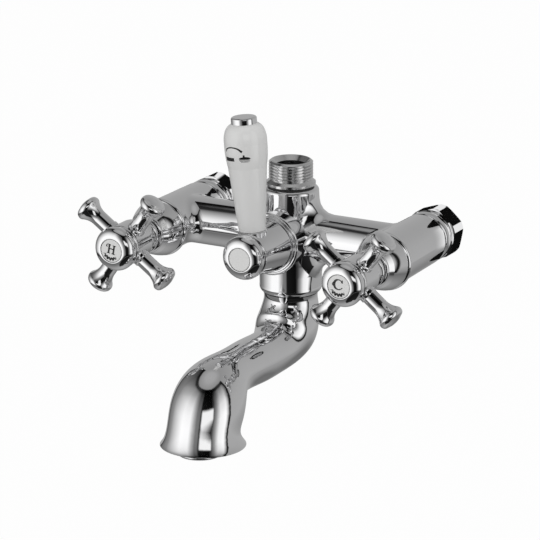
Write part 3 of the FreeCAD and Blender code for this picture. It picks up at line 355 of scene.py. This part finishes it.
def plateMark(name, mark):
    # a letter and the ribbon on the flat front of a plate
    low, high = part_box(mark["plate"])
    turn = mark["turn"] * degree
    middle = (Vector(low) + Vector(high)) / 2

    def placed(u, v):
        v += mark["raise"]
        return (middle.x + (u * math.cos(turn) + v * math.sin(turn)) * millimetre, low[1] - ink["lift"],
                middle.z + (v * math.cos(turn) - u * math.sin(turn)) * millimetre)

    wavy = []
    for k in range(flourish["turns"]):
        far = flourish["radius"] + flourish["wave"] * (-1) ** k
        bearing = (flourish["start"] + flourish["step"] * k) * degree
        wavy.append((far * math.cos(bearing), far * math.sin(bearing) - mark["raise"]))
    inkedMark(name, mark["strokes"] + [(wavy, flourish["widths"])], placed, mark["body"])


def wrappedMark(name, mark):
    # a sign wrapped round the leaning lever, each point cast onto its surface
    lean = mark["lean"] * degree
    upward = Vector((math.sin(lean), 0, math.cos(lean)))
    aside = Vector((math.cos(lean), 0, -math.sin(lean)))
    foot = Vector((0, -mark["ahead"], 0))
    lever = nodes[mark["node"]]
    turned = lever.matrix_world.inverted()

    def placed(u, v):
        angle = u / mark["radius"]
        way = aside * math.sin(angle) - Vector((0, math.cos(angle), 0))
        core = (foot + upward * (mark["top"] + v)) * millimetre
        start = turned @ (core + way * mark["castFrom"] * millimetre)
        struck, spot, normal, index = lever.ray_cast(start, (turned.to_3x3() @ -way).normalized())
        return lever.matrix_world @ spot + way * ink["lift"] if struck else core + way * mark["radius"] * millimetre

    inkedMark(name, mark["strokes"], placed, mark["body"])


plateMark("hotLetter", hotMark)
plateMark("coldLetter", coldMark)
wrappedMark("leverPictogram", leverMark)
print("marks drawn")


# studio

view = {"azimuth": 28.34, "elevation": 16.93, "distance": 2.2, "lens": 246.12, "sensor": 36, "clip": (0.05, 50),
        "right": -0.01243, "up": -0.02211, "wallReach": 0.0482}


def towards(turn, rise):
    # the direction that a bearing from the front and a rise give
    return Vector((math.sin(turn) * math.cos(rise), -math.cos(turn) * math.cos(rise), math.sin(rise)))


azimuth = view["azimuth"] * degree
towardsCamera = towards(azimuth, view["elevation"] * degree)
cameraRight = Vector((math.cos(azimuth), math.sin(azimuth), 0))
cameraUp = towardsCamera.cross(cameraRight)


def photoCamera():
    eye = (cameraRight * view["right"] + cameraUp * view["up"] + towardsCamera * view["distance"]
           - Vector((0, view["wallReach"], 0)))
    lens = bpy.data.cameras.new("photoCamera")
    lens.lens = view["lens"]
    lens.sensor_width = view["sensor"]
    lens.clip_start, lens.clip_end = view["clip"]
    camera = bpy.data.objects.new("photoCamera", lens)
    bpy.context.scene.collection.objects.link(camera)
    turn = Matrix((cameraRight, cameraUp, towardsCamera)).transposed().to_4x4()
    camera.matrix_world = Matrix.Translation(eye) @ turn
    bpy.context.scene.camera = camera


# bearings from the camera and rises above the horizon are in degrees, and the rest is brightness
studio = {
    "zone": (-152, 80), "zoneHeights": (-29, 63), "zoneFade": 2.0, "fill": 0.66,
    "skirting": (-45, 62), "skirtingHeights": (-66, -29), "skirtingFades": (3.0, 2.0), "skirtingShade": 0.95,
    "window": (-12, 24), "windowHeights": (8, 24), "windowFade": 3.0,
    # brightness by the bearing, inside the zone
    "bearings": [(-180, 0.01), (-151, 0.01), (-144, 0.16), (-122, 0.30), (-98, 0.72), (-74, 1.15), (-48, 1.15),
                 (-36, 0.55), (-27, 0.22), (-19, 0.20), (-14, 0.01), (18, 0.004), (24, 0.06), (34, 0.36), (46, 1.0),
                 (64, 1.15), (71, 0.50), (75, 0.01), (180, 0.01)],
    # share of it that is left, by the rise
    "rises": [(-90, 0.05), (-25, 0.05), (-21, 0.95), (5, 1.0), (24, 0.78), (42, 0.40), (53, 0.20), (57, 0.03),
              (90, 0.02)],
    # everything outside the zone, by the rise
    "surround": [(-90, 0.46), (-66, 0.36), (-46, 0.22), (-34, 0.16), (-26, 0.30), (-12, 0.43), (12, 0.41),
                 (40, 0.35), (66, 0.30), (78, 0.40), (90, 0.42)],
    "brightest": 2.0}


def lightPath(g, *outputs):
    path = g.add("ShaderNodeLightPath")
    return [path.beside(output) for output in outputs]


def studioWorld():
    # pale surroundings; in front, a dark cloth with soft white panels hung before it
    world = bpy.data.worlds.new("studioWorld")
    bpy.context.scene.world = world
    g = Graph(world)
    look = g.add("ShaderNodeTexCoord", output="Generated")

    def along(direction):
        return g.add("ShaderNodeVectorMath", {"operation": "DOT_PRODUCT"}, {0: look, 1: tuple(direction)},
                     output="Value")

    def profile(value, stops, reach):
        top = studio["brightest"]
        marks = [((at + reach) / (2 * reach), grey(level / top)) for at, level in stops]
        return g.add("ShaderNodeValToRGB", {"stops": marks}, {0: value / (2 * reach) + 0.5}) * top

    bearing = g.maths("ARCTAN2", along(cameraRight), along(towards(azimuth, 0))) * (1 / degree)
    rise = g.maths("ARCSINE", along((0, 0, 1))) * (1 / degree)

    def patch(name, sideFade, riseFade):
        return (bearing.within(*studio[name], sideFade, sideFade)
                & rise.within(*studio[name + "Heights"], riseFade, riseFade))

    zone = patch("zone", studio["zoneFade"], studio["zoneFade"])
    skirting = patch("skirting", *studio["skirtingFades"])
    window = patch("window", studio["windowFade"], studio["windowFade"])
    front = (profile(bearing, studio["bearings"], 180) * profile(rise, studio["rises"], 90)) | window
    mirrored = (profile(rise, studio["surround"], 90) * (1 - zone) * (1 - skirting * studio["skirtingShade"])
                + (zone & front))
    seen, glossy = lightPath(g, "Is Camera Ray", "Is Glossy Ray")
    strength = studio["fill"] * (1 - (seen | glossy)) + seen + glossy * mirrored * (1 - seen)
    backdrop = g.add("ShaderNodeBackground", inputs={"Color": (1, 1, 1, 1), "Strength": strength})
    g.add("ShaderNodeOutputWorld", inputs={"Surface": backdrop})


lamps = {"away": 1.6, "panels": [{"name": "keyPanel", "bearing": -45, "rise": 38, "size": 0.9, "power": 3.0},
                                 {"name": "sidePanel", "bearing": 48, "rise": 25, "size": 0.7, "power": 1.6}]}


def softLamps():
    for panel in lamps["panels"]:
        lamp = bpy.data.lights.new(panel["name"], "AREA")
        lamp.size = panel["size"]
        lamp.energy = panel["power"]
        way = towards(azimuth + panel["bearing"] * degree, panel["rise"] * degree)
        holder = bpy.data.objects.new(panel["name"], lamp)
        bpy.context.scene.collection.objects.link(holder)
        holder.matrix_world = Matrix.Translation(way * lamps["away"]) @ way.to_track_quat("Z", "Y").to_matrix().to_4x4()
        holder.visible_glossy = False


floorShape = {"size": 8, "height": -0.42, "shade": 0.80, "seenWhite": 0.97}


def paleFloor():
    # plain white to the camera but for a trace of shadow, and clear to the chrome
    bpy.ops.object.select_all(action="DESELECT")
    bpy.ops.mesh.primitive_plane_add(size=floorShape["size"], location=(0, 0, floorShape["height"]))
    floor = bpy.context.object
    floor.name = "paleFloor"
    bpy.ops.object.transform_apply(location=True, rotation=True, scale=True)
    g = finish("paleFloor")
    seen, glossy = lightPath(g, "Is Camera Ray", "Is Glossy Ray")
    shade = g.add("ShaderNodeBsdfDiffuse", inputs={"Color": grey(floorShape["shade"])})
    clear = g.add("ShaderNodeBsdfTransparent")
    mixed = g.add("ShaderNodeMixShader", inputs={0: seen * floorShape["seenWhite"], 1: shade, 2: g.glow(1.0)})
    mixed = g.add("ShaderNodeMixShader", inputs={0: glossy, 1: mixed, 2: clear})
    g.add("ShaderNodeOutputMaterial", inputs={"Surface": mixed})
    floor.data.materials.append(finishes["paleFloor"])


# lengths in metres, angles round the nut in degrees; white and black are the brightness of the painted reflection on
# the nuts
cardShape = {"size": 0.1, "across": 0.075, "behind": 0.004, "reach": 0.023, "lobe": 0.015, "lobes": 3, "turn": 61,
             "edge": (-0.0005, 0.0008), "white": 0.9, "black": 0.004, "seenFrom": 0.065, "seenFade": 0.002,
             "slots": [(3, 27), (80, 102)], "slotFades": (3, 1), "slotReach": 0.030, "slotTip": 0.004,
             "panel": (-28, 42), "panelFade": 8, "panelReach": 0.038, "panelTip": 0.010}


def paintedNutReflection(name, across):
    # a painted reflection for a union nut: a black lobed card with white slots close behind it, which only the chrome
    # sees, glowing painted dark and painted highlights into the nut's reflection
    bpy.ops.object.select_all(action="DESELECT")
    bpy.ops.mesh.primitive_plane_add(size=cardShape["size"], location=(across, cardShape["behind"], 0),
                                     rotation=(math.pi / 2, 0, 0))
    card = bpy.context.object
    card.name = name
    bpy.ops.object.transform_apply(location=True, rotation=True, scale=True)
    g = finish(name)
    where = g.add("ShaderNodeTexCoord", output="Object")
    apart = g.add("ShaderNodeSeparateXYZ", inputs={0: where})
    sideways = apart - across
    upwards = apart.beside("Z")
    angle = g.maths("ARCTAN2", upwards, sideways)
    far = (sideways * sideways + upwards * upwards) ** 0.5
    lobe = g.maths("COSINE", (angle - cardShape["turn"] * degree) * cardShape["lobes"])
    edge = far - (lobe | 0.0) ** 2 * cardShape["lobe"] - cardShape["reach"]
    degrees = angle * (1 / degree)

    def shorter(reach, tip):
        return far.ramp(reach - tip, reach, 1.0, 0.0)

    paintedSlotHighlight = degrees * 0.0
    for low, high in cardShape["slots"]:
        paintedSlotHighlight = paintedSlotHighlight | degrees.within(low, high, *cardShape["slotFades"])
    paintedSlotHighlight = paintedSlotHighlight & shorter(cardShape["slotReach"], cardShape["slotTip"])
    panelFade = cardShape["panelFade"]
    panel = (degrees.within(*cardShape["panel"], panelFade, panelFade)
             & shorter(cardShape["panelReach"], cardShape["panelTip"]))
    inside = edge.ramp(*cardShape["edge"], 1.0, 0.0) | panel
    # only glossy rays shorter than seenFrom see the card, so it paints only the nearby nut's reflection
    glossy, away = lightPath(g, "Is Glossy Ray", "Ray Length")
    near = away.ramp(cardShape["seenFrom"], cardShape["seenFrom"] + cardShape["seenFade"], 1.0, 0.0)
    # painted highlights: the slots, a rim at the lobes' edge and the panel past the lobes glow white; the lobes glow a
    # painted black reflection
    glow = g.glow((paintedSlotHighlight | edge.ramp(*cardShape["edge"])) * cardShape["white"] + cardShape["black"])
    clear = g.add("ShaderNodeBsdfTransparent")
    mixed = g.add("ShaderNodeMixShader", inputs={0: glossy & inside & near, 1: clear, 2: glow})
    g.add("ShaderNodeOutputMaterial", inputs={"Surface": mixed})
    card.data.materials.append(finishes[name])


photoCamera()
studioWorld()
softLamps()
paleFloor()
# painted reflections behind the two union nuts
paintedNutReflection("hotNutPaintedReflection", -cardShape["across"])
paintedNutReflection("coldNutPaintedReflection", cardShape["across"])
bpy.context.scene.view_settings.view_transform = "Standard"
print("studio set")
